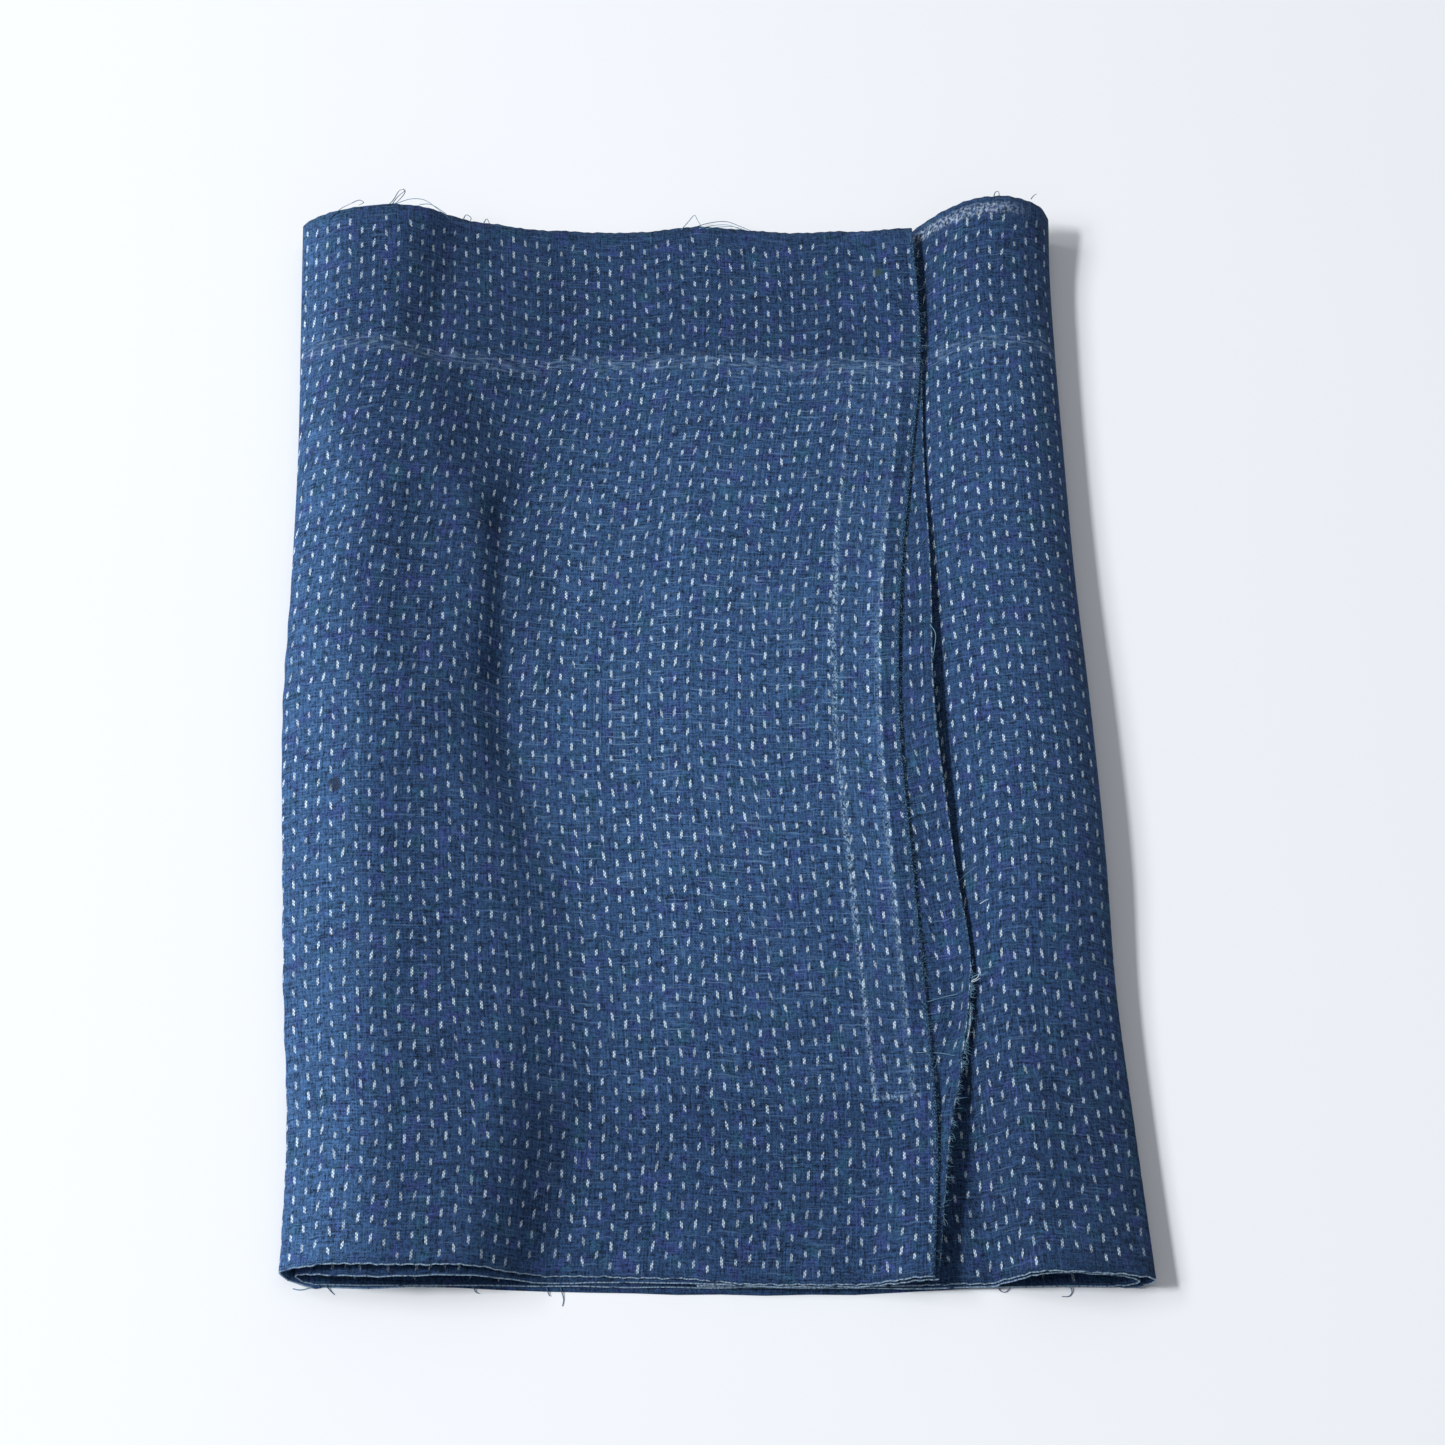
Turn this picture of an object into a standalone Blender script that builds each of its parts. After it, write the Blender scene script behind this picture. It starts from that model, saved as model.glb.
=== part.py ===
"""Folded kasuri hemp cloth.

One loom-wide length of thin indigo hemp, doubled end to end and folded in three: the right
third is turned in first, the left third lies over it with the two cut ends on top. The folds are
soft and open. X runs along the warp, Y from selvedge to selvedge, and Z is up. The part's
origin is on the table, under the middle of its box.
"""

import math
from collections import namedtuple

import bmesh
import bpy
import numpy as np

MM = 0.001

NAME = "folded_hemp_cloth"

# Cloth, in mm. The plies lie one pitch apart, counted up from the table.
CLOTH_WIDTH = 328.0
SHEET = 1.0
GAP = 0.4
PITCH = SHEET + GAP
UNDER_OUTER, UNDER_INNER, RIGHT_INNER, RIGHT_OUTER, LEFT_INNER, LEFT_OUTER = range(6)

# Hidden turn of the doubled cloth, and the run over which the left panel sinks beyond it.
TURN_X = 2.0
SETTLE_RUN = 24.0

# How far the inner ply's folds lie inside the outer ply's, its share of the outer ply's humps,
# and the shape of the loops.
LEFT_INSET = 14.0
RIGHT_INSET = 6.0
INNER_SHARE = 0.88
LANDING_RATIO = 1.3
CREST_FULLNESS = 1.4

# The left hump falls partly in a long slope, partly in a short step; the right one rises early.
STEP_RUN = 22.0
RISE_LEAN = 0.7

# The run over which the two cut ends lift off the right panel, and the upper end's larger share.
LIFT_RUN = 22.0
UPPER_LIFT = 1.2

# Sections across the cloth, front to back: x of each fold, crest, step and foot, the crests'
# heights, the step's share of the left one, and how far the cut ends lift.
Section = namedtuple(
    "Section",
    "y left_fold left_crest left_height left_step step_share left_foot"
    " upper_end second_end end_lift right_foot right_crest right_height right_fold",
)
SECTIONS = [
    Section(-164, -106.0, -80.0, 16.0, -41, 0.60, -24, 62.3, 63.5, 5.0, 66, 101.5, 13.5, 118.4),
    Section(-125, -106.2, -80.0, 14.5, -39, 0.52, -22, 64.3, 70.9, 2.5, 67, 100.0, 13.0, 116.7),
    Section(-85, -109.5, -81.5, 13.0, -37, 0.40, -21, 62.5, 75.0, 0.8, 68, 99.0, 14.5, 114.0),
    Section(-45, -112.3, -83.0, 13.5, -41, 0.35, -22, 59.8, 70.8, 1.0, 64, 99.0, 16.5, 112.3),
    Section(0, -114.7, -84.5, 15.5, -56, 0.45, -29, 57.2, 66.8, 2.8, 59, 97.7, 16.0, 110.2),
    Section(45, -114.3, -86.0, 16.5, -53, 0.55, -31, 59.0, 67.0, 1.8, 59, 96.8, 15.0, 107.2),
    Section(85, -114.8, -88.0, 18.0, -53, 0.40, -30, 63.0, 66.3, 0.8, 62, 95.3, 14.5, 105.4),
    Section(125, -116.4, -88.0, 18.5, -53, 0.30, -29, 66.4, 66.9, 1.5, 65, 94.5, 15.8, 104.9),
    Section(164, -118.0, -88.0, 18.5, -53, 0.30, -28, 64.5, 66.2, 3.0, 66, 92.5, 19.5, 105.3),
]

# How far the cloth's middle drifts from the centre line, at places met along its length.
Drift = namedtuple("Drift", "cut_end left_crest under_left under_right right_crest right_foot")
OUTER_DRIFT = Drift(-0.8, 0.4, -0.6, -0.4, 0.8, -0.6)
INNER_DRIFT = Drift(-1.4, -0.4, -0.2, 0.0, 0.4, -0.8)

# Steps of the mesh along each stretch, and across the cloth.
LIFT_STEPS = 6
FLAT_STEPS = 4
SETTLE_STEPS = 5
LEVEL_STEPS = 1
SLOPE_STEPS = 8
UPPER_BEND_STEPS = 6
LOWER_BEND_STEPS = 4
UNDER_STEPS = 3
PANEL_STEPS = 3
TURN_STEPS = 4
CROSS_STEPS = 16

INDIGO = (0.052, 0.098, 0.235, 1.0)
CLOTH_ROUGHNESS = 0.92


def clear_scene():
    for obj in list(bpy.data.objects):
        bpy.data.objects.remove(obj, do_unlink=True)


def level(ply):
    """height of a flat ply's middle above the table"""
    return SHEET / 2 + ply * PITCH


def ease(t):
    """soft step from 0 to 1"""
    t = min(max(t, 0.0), 1.0)
    return (1 - math.cos(math.pi * t)) / 2


def section_at(y):
    """the sizes at a place across the cloth, drawn smoothly through the table's rows"""
    places = [row.y for row in SECTIONS]
    y = min(max(y, places[0]), places[-1])
    i = min(int(np.searchsorted(places, y, side="right")) - 1, len(SECTIONS) - 2)
    before, after = SECTIONS[max(i - 1, 0)], SECTIONS[min(i + 2, len(SECTIONS) - 1)]
    start, end = SECTIONS[i], SECTIONS[i + 1]
    span = end.y - start.y
    t = (y - start.y) / span
    sizes = []
    for a, b, c, d in zip(before, start, end, after):
        slope_b = (c - a) / (end.y - before.y) * span
        slope_c = (d - b) / (after.y - start.y) * span
        sizes.append(
            b * (2 * t**3 - 3 * t**2 + 1)
            + slope_b * (t**3 - 2 * t**2 + t)
            + c * (3 * t**2 - 2 * t**3)
            + slope_c * (t**3 - t**2)
        )
    return Section(*sizes)


def left_rise(row, x):
    """height of the left panel's soft hump over its flat part"""
    rise = row.left_height - level(RIGHT_OUTER)
    slope = ease((row.left_foot - x) / (row.left_foot - row.left_crest))
    step = ease((row.left_step - x) / STEP_RUN + 0.5)
    return rise * ((1 - row.step_share) * slope + row.step_share * step)


def right_rise(row, x):
    """height of the right panel's hump, on which the ends of the left panel ride"""
    rise = row.right_height - level(RIGHT_OUTER)
    along = max((x - row.right_foot) / (row.right_crest - row.right_foot), 0.0)
    return rise * ease(along**RISE_LEAN)


def end_lift(row, x):
    """how far the left panel lifts off the right one towards its cut ends"""
    return row.end_lift * ease((x - row.second_end) / LIFT_RUN + 1)


def left_panel(row, ply, end, share):
    """a ply of the left panel, from its cut end to the crest of the left fold"""
    lift_share = UPPER_LIFT if ply == LEFT_OUTER else 1.0
    turn_end = TURN_X - SETTLE_RUN
    xs = list(np.linspace(end, end - LIFT_RUN, LIFT_STEPS, endpoint=False))
    xs += list(np.linspace(end - LIFT_RUN, TURN_X, FLAT_STEPS, endpoint=False))
    xs += list(np.linspace(TURN_X, turn_end, SETTLE_STEPS, endpoint=False))
    xs += list(np.linspace(turn_end, row.left_foot, LEVEL_STEPS, endpoint=False))
    xs += list(np.linspace(row.left_foot, row.left_crest, SLOPE_STEPS + 1))
    points = []
    for x in xs:
        sunk = 2 * PITCH * ease((TURN_X - x) / SETTLE_RUN)
        over = right_rise(row, x) + lift_share * end_lift(row, x)
        points.append((x, level(ply) - sunk + share * left_rise(row, x) + over))
    return points


def right_panel(row, ply, share):
    """a ply of the right panel, from the crest of the right fold to the hidden turn"""
    xs = list(np.linspace(row.right_crest, row.right_foot, SLOPE_STEPS, endpoint=False))
    xs += list(np.linspace(row.right_foot, TURN_X, PANEL_STEPS, endpoint=False))
    return [(x, level(ply) + share * right_rise(row, x)) for x in xs]


def loop_end(crest, tip_x, under_ply):
    """a fold's open loop, from past its crest round the tip and down to the ply under it"""
    crest_x, crest_z = crest
    under_z = level(under_ply)
    tip_z = (crest_z + under_z) / 2
    points = []
    for angle in np.linspace(0, math.pi / 2, UPPER_BEND_STEPS, endpoint=False)[1:]:
        x = crest_x + (tip_x - crest_x) * math.sin(angle)
        z = tip_z + (crest_z - tip_z) * math.cos(angle) ** CREST_FULLNESS
        points.append((x, z))
    landing = LANDING_RATIO * (tip_z - under_z) * math.copysign(1, crest_x - tip_x)
    for angle in np.linspace(0, math.pi / 2, LOWER_BEND_STEPS, endpoint=False):
        x = tip_x + landing * (1 - math.cos(angle))
        z = tip_z - (tip_z - under_z) * math.sin(angle)
        points.append((x, z))
    points.append((tip_x + landing, under_z))
    return points


def hidden_turn():
    """the doubled cloth's own fold, from the right panel's outer ply to its inner ply"""
    middle = (level(RIGHT_OUTER) + level(RIGHT_INNER)) / 2
    radius = PITCH / 2
    angles = np.linspace(0, math.pi, TURN_STEPS + 1)
    return [(TURN_X - radius * math.sin(a), middle + radius * math.cos(a)) for a in angles]


def half_section(row, inner):
    """one ply of the doubled cloth, from its cut end to the hidden turn, with the drifts"""
    if inner:
        left_ply, right_ply, under_ply = LEFT_INNER, RIGHT_INNER, UNDER_INNER
        end, drift, share = row.second_end, INNER_DRIFT, INNER_SHARE
        left_tip, right_tip = row.left_fold + LEFT_INSET, row.right_fold - RIGHT_INSET
    else:
        left_ply, right_ply, under_ply = LEFT_OUTER, RIGHT_OUTER, UNDER_OUTER
        end, drift, share = row.upper_end, OUTER_DRIFT, 1.0
        left_tip, right_tip = row.left_fold, row.right_fold

    over = left_panel(row, left_ply, end, share)
    back = right_panel(row, right_ply, share)
    left = loop_end(over[-1], left_tip, under_ply)
    right = loop_end(back[0], right_tip, under_ply)[::-1]
    under_xs = np.linspace(left[-1][0], right[0][0], UNDER_STEPS + 1)[1:-1]
    under = [(x, level(under_ply)) for x in under_xs]

    stretches = [over, left, under, right, back[:SLOPE_STEPS], back[SLOPE_STEPS:]]
    ends = np.cumsum([len(stretch) for stretch in stretches])
    drifts = np.interp(range(ends[-1]), [0, *ends[:-1]], drift)
    return sum(stretches, []), drifts


def whole_section(row):
    """the section's points and drifts, from the upper cut end to the second one"""
    outer, outer_drifts = half_section(row, inner=False)
    inner, inner_drifts = half_section(row, inner=True)
    turn = hidden_turn()
    turn_drifts = np.linspace(outer_drifts[-1], inner_drifts[-1], len(turn))
    points = outer + turn + inner[::-1]
    drifts = np.concatenate([outer_drifts, turn_drifts, inner_drifts[::-1]])
    return points, drifts


def cloth_points():
    """the sheet's middle surface as a grid of places, in metres, centred over the origin"""
    _, drifts = whole_section(SECTIONS[0])
    grid = np.zeros((len(drifts), CROSS_STEPS + 1, 3))
    for j, across in enumerate(np.linspace(-CLOTH_WIDTH / 2, CLOTH_WIDTH / 2, CROSS_STEPS + 1)):
        for i, drift in enumerate(drifts):
            points, _ = whole_section(section_at(across + drift))
            x, z = points[i]
            grid[i, j] = (x, across + drift, z)
    for axis in (0, 1):
        grid[:, :, axis] -= (grid[:, :, axis].max() + grid[:, :, axis].min()) / 2
    return grid * MM


def hemp_material():
    material = bpy.data.materials.new("indigo_hemp")
    material.use_nodes = True
    shader = material.node_tree.nodes["Principled BSDF"]
    shader.inputs["Base Color"].default_value = INDIGO
    shader.inputs["Roughness"].default_value = CLOTH_ROUGHNESS
    shader.inputs["Metallic"].default_value = 0.0
    material.diffuse_color = INDIGO
    return material


def cloth_object(collection):
    """a flat grid bent along the section, then given the sheet's thickness"""
    places = cloth_points()
    steps_along, steps_across = places.shape[0] - 1, places.shape[1] - 1
    bm = bmesh.new()
    bmesh.ops.create_grid(bm, x_segments=steps_along, y_segments=steps_across, size=0.5)
    for vert in bm.verts:
        i = round((vert.co.x + 0.5) * steps_along)
        j = round((vert.co.y + 0.5) * steps_across)
        vert.co = places[i, j]
    mesh = bpy.data.meshes.new(NAME)
    bm.to_mesh(mesh)
    bm.free()
    mesh.shade_smooth()
    mesh.materials.append(hemp_material())

    cloth = bpy.data.objects.new(NAME, mesh)
    collection.objects.link(cloth)
    solidify = cloth.modifiers.new("sheet_thickness", "SOLIDIFY")
    solidify.thickness = SHEET * MM
    solidify.offset = 0.0
    solidify.use_even_offset = True
    return cloth


def main():
    clear_scene()
    collection = bpy.data.collections.new("folded_kasuri_hemp_cloth")
    bpy.context.scene.collection.children.link(collection)
    cloth_object(collection)


main()
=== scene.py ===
import math
from collections import namedtuple

import bpy
import numpy as np
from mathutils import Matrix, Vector


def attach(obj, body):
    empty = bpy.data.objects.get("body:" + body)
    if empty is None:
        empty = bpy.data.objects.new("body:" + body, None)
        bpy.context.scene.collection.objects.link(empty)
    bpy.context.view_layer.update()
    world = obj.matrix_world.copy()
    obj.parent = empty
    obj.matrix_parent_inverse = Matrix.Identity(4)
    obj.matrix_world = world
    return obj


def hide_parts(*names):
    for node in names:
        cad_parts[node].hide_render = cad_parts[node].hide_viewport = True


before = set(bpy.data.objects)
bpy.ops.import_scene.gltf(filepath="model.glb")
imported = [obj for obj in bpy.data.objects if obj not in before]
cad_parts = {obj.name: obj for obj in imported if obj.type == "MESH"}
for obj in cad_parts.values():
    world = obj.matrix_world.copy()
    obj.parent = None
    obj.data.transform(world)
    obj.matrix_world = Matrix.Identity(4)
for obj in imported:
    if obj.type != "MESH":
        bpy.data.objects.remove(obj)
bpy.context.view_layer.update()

# Looks of the folded kasuri hemp cloth: one loom-wide length, doubled end to end and folded in
# three. Sizes are in mm in the frame's own axes: X along the warp, Y from selvedge to selvedge.

MM = 0.001

CLOTH_WIDTH = 328.0
SHEET = 0.4

# The six plies from the table up, and how far the middle of each lies above the one below it.
UNDER_OUTER, UNDER_INNER, RIGHT_INNER, RIGHT_OUTER, LEFT_INNER, LEFT_OUTER = range(6)
PITCH = 0.8

# The doubled cloth's hidden turn, the run over which the left panel sinks beyond it, and by how
# many plies: the right panel's two, which end there.
TURN_X = 2.0
SETTLE_RUN = 24.0
SUNK_PLIES = 2

# The left hump falls partly in a long slope, partly in a short step. The right one rises early,
# the more so the smaller its lean, and its inner ply rises by a share of it.
RISE_LEAN = 0.7
RIGHT_INNER_SHARE = 0.9

# The run over which the two cut ends lift off the right panel, and the upper end's larger share.
LIFT_RUN = 22.0
UPPER_LIFT = 1.2

# Each fold's open loop: how far the inner ply's lies inside the outer's, how high its tip stands
# between the ply under it and its crest, how full it is, and how far back it lands.
Loop = namedtuple("Loop", "inset tip_share fullness landing")
OUTER_LOOP = Loop(0.0, 0.5, 1.4, 1.3)
LEFT_INNER_LOOP = Loop(3.5, 0.28, 1.2, 1.6)
RIGHT_INNER_LOOP = Loop(4.0, 0.45, 1.4, 1.3)

# Sections across the cloth, front to back: x of each fold, crest, step and foot, the crests'
# heights, the step's run and its share of the left one, the inner ply's share, the ends' lift.
Section = namedtuple(
    "Section",
    "y left_fold left_crest left_height left_step step_run step_share inner_share left_foot"
    " upper_end second_end end_lift right_foot right_crest right_height right_fold",
)
SECTIONS = [
    Section(-165, -105.4, -80, 16.0, -47.5, 27, 0.96, 0.72, -22, 62.3, 63.5, 5.0, 77, 94, 13.5, 119.0),
    Section(-125, -105.8, -80, 14.5, -39, 31, 0.92, 0.80, -18, 64.3, 67.8, 3.5, 73, 90, 13.3, 115.9),
    Section(-85, -109.0, -81, 13.0, -40, 29, 0.60, 0.85, -8, 62.5, 74.6, 1.8, 69, 90, 14.5, 112.9),
    Section(-45, -111.6, -83, 13.5, -45.5, 28, 0.64, 0.88, -10, 59.8, 70.8, 3.0, 64, 93, 16.5, 112.0),
    Section(0, -114.0, -84, 15.5, -55, 34, 0.74, 0.88, -23, 57.2, 66.8, 5.0, 59, 94, 16.0, 110.2),
    Section(45, -113.9, -87, 16.5, -50.5, 28, 0.62, 0.88, -26, 59.0, 67.0, 2.4, 59, 93, 15.0, 107.7),
    Section(85, -114.3, -88, 17.8, -63, 32, 0.38, 0.88, -26, 63.0, 66.3, 0.8, 62, 92, 14.5, 106.4),
    Section(125, -115.8, -88.5, 18.0, -82, 14, 0.22, 0.88, -27, 66.4, 66.2, 1.8, 65, 91, 15.2, 105.3),
    Section(146, -116.6, -89, 18.2, -78, 18, 0.36, 0.88, -28, 65.6, 64.9, 3.0, 64, 90, 16.2, 105.0),
    Section(165, -117.3, -89, 18.5, -75, 20, 0.40, 0.88, -28, 64.5, 63.6, 3.4, 63, 90, 19.5, 105.3),
]

# Where the two selvedges run, ply by ply: y of the front one and the back one at each x.
Edge = namedtuple("Edge", "x front back")
LEFT_OUTER_EDGES = [
    Edge(-118, -163.5, 163.6),
    Edge(-106, -163.5, 164.6),
    Edge(-91, -163.4, 164.8),
    Edge(-82, -163.8, 164.8),
    Edge(-59, -163.8, 165.5),
    Edge(-49, -163.5, 165.4),
    Edge(-39, -162.6, 166.2),
    Edge(-29, -162.5, 166.1),
    Edge(-12, -163.2, 166.3),
    Edge(1, -163.9, 167.2),
    Edge(12, -165.0, 166.2),
    Edge(31, -165.3, 164.8),
    Edge(43, -165.3, 165.4),
    Edge(55, -165.2, 163.8),
    Edge(67, -165.1, 163.4),
]
UNDER_OUTER_EDGES = [
    Edge(-118, -163.5, 163.6),
    Edge(-106, -163.5, 164.6),
    Edge(-99, -164.6, 164.0),
    Edge(-92, -164.9, 163.2),
    Edge(-60, -164.5, 162.8),
    Edge(-45, -165.4, 162.8),
    Edge(-34, -165.6, 162.8),
    Edge(-3, -166.5, 162.3),
    Edge(18, -166.7, 162.0),
    Edge(61, -165.4, 162.6),
    Edge(72, -164.5, 162.9),
    Edge(105, -164.6, 164.8),
    Edge(119, -164.8, 164.8),
]
RIGHT_OUTER_EDGES = [
    Edge(2, -165.0, 163.6),
    Edge(62, -164.8, 164.6),
    Edge(67, -164.6, 166.4),
    Edge(74, -164.5, 167.2),
    Edge(86, -164.5, 167.3),
    Edge(98, -164.9, 167.2),
    Edge(103, -165.0, 166.8),
    Edge(105.3, -165.0, 165.4),
    Edge(119, -164.8, 164.8),
]
RIGHT_INNER_EDGES = [
    Edge(2, -165.0, 163.6),
    Edge(66, -165.4, 163.2),
    Edge(95, -164.6, 164.4),
    Edge(114, -164.6, 163.6),
]
UNDER_INNER_EDGES = [
    Edge(-114, -163.8, 163.8),
    Edge(-103, -163.0, 164.0),
    Edge(-100, -163.6, 164.0),
    Edge(-90, -164.2, 164.0),
    Edge(-75, -164.3, 163.9),
    Edge(-36, -164.7, 163.6),
    Edge(60, -165.0, 163.4),
    Edge(99, -164.6, 163.6),
    Edge(114, -164.6, 163.6),
]
LEFT_INNER_EDGES = [
    Edge(-114, -163.8, 163.8),
    Edge(-103, -163.0, 164.0),
    Edge(-92, -164.8, 164.0),
    Edge(-59, -165.0, 164.0),
    Edge(-44, -164.4, 163.8),
    Edge(-25, -163.9, 163.6),
    Edge(-3, -164.5, 163.4),
    Edge(16, -165.4, 163.4),
    Edge(77, -165.2, 163.3),
]

# Steps of the cloth's mesh across it, and how far the finer ones along it run: back from the
# inner ply's end, and from the right panel under the upper end.
INNER_SHOWN_RUN = 16.0
UNDER_END_RUN = 3.0
CROSS_STEPS = 130

# The selvedges and the heights depend on one another, so a stretch is laid in a few rounds.
LAYING_ROUNDS = 3

# Soft troughs (minus) and ridges (plus) pressed into the panels: a line from one place to
# another, its half width and its height.
Crease = namedtuple("Crease", "x y to_x to_y width height")
LEFT_CREASES = [
    Crease(-91, 165, -92, 112, 3.5, 0.5),
    Crease(-90, 110, -91, 20, 5.0, 1.0),
    Crease(-74, 66, -75, 22, 6.0, -1.1),
    Crease(-47, 80, -53, 63, 4.0, -1.0),
    Crease(-53.5, 63, -52.5, 12, 3.8, -2.0),
    Crease(-88, 15, -78, -5, 5.0, 0.5),
    Crease(-78, -5, -60, -10, 5.0, 0.5),
    Crease(-52.5, 12, -51, -10, 4.5, -0.9),
    Crease(-51, -10, -44, -38, 4.5, -1.1),
    Crease(-39, -112, -33, -125, 6.0, -0.4),
    Crease(-33, -125, -39, -160, 5.0, -0.7),
]

# Small ripples round the left fold, which die out between y 0 and their end. Their places stray
# and their heights swell in slow waves, each given by how far it runs for one radian.
RIPPLE_RUN = 14.0
RIPPLE_HEIGHT = 0.35
RIPPLES_END = 60.0
STRAY = 1.5
STRAY_RUN = 23.0
SWELL = 0.4
SWELL_RUN = 17.0

# How far the last warp yarns of a selvedge stray, the waves that they make, in radians for each
# mm, and how far along the back selvedge's waves are shifted.
EDGE_WAVER = 0.14
QUICK_WAVE = 1.9
MIDDLE_WAVE = 0.83
SLOW_WAVE = 0.21
BACK_EDGE_SHIFT = 7.0

# Allowance beside the upper cut end: the worn lines where it was sewn, and how it bulges there,
# over a short run from the end.
ALLOWANCE = 6.2
OUTER_ALLOWANCE = 16.2
OUTER_SLANT = 0.0178
RIDGE_WIDTH = 4.0
RIDGE_HEIGHT = 0.4
RIDGE_START = 2.0

# The second end's edge turns up a little along a crease, between two places and softly at both.
FLAP_RUN = 5.0
FLAP_RISE = 1.3
FLAP_FROM = -74.0
FLAP_FROM_RUN = 14.0
FLAP_TO = -158.0
FLAP_TO_RUN = 24.0
FLAP_CREASE_WIDTH = 1.5
FLAP_CREASE_DEPTH = 0.5

# Frayed yarns along the cut ends: how many, between which y, how long and how widely they lean.
Fringe = namedtuple("Fringe", "name end tone count reach length spread radius")
FRINGES = [
    Fringe("upper_end_fray", "upper", "indigo", 760, (-160, 158), 1.15, 0.75, 0.085),
    Fringe("upper_end_worn_fray", "upper", "pale", 330, (-120, 132), 0.95, 0.8, 0.075),
    Fringe("second_end_fray", "second", "indigo", 330, (-158, 150), 0.55, 0.6, 0.075),
    Fringe("second_end_worn_fray", "second", "pale", 260, (-150, -78), 1.0, 0.9, 0.075),
]

# What all the fringes share: how deep their yarns root and how their lengths spread; in radians,
# how they lean, and how far they bend by chance; their tilt, its spread and their droop as slopes.
FRINGE_ROOT = 0.5
FRINGE_POINTS = 4
LENGTH_SPREAD = 0.45
LEAN = -0.25
BEND_SPREAD = 0.5
TILT = 0.05
TILT_SPREAD = 0.22
DROOP = 0.25

# Loose yarns are thin rods, narrower at the tip, squared to a direction that none of them runs in.
YARN_SIDES = 4
YARN_TIP = 0.6
YARN_SQUARE = (0.13, 0.21, 0.97)
THREAD_STEPS = 6

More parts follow.
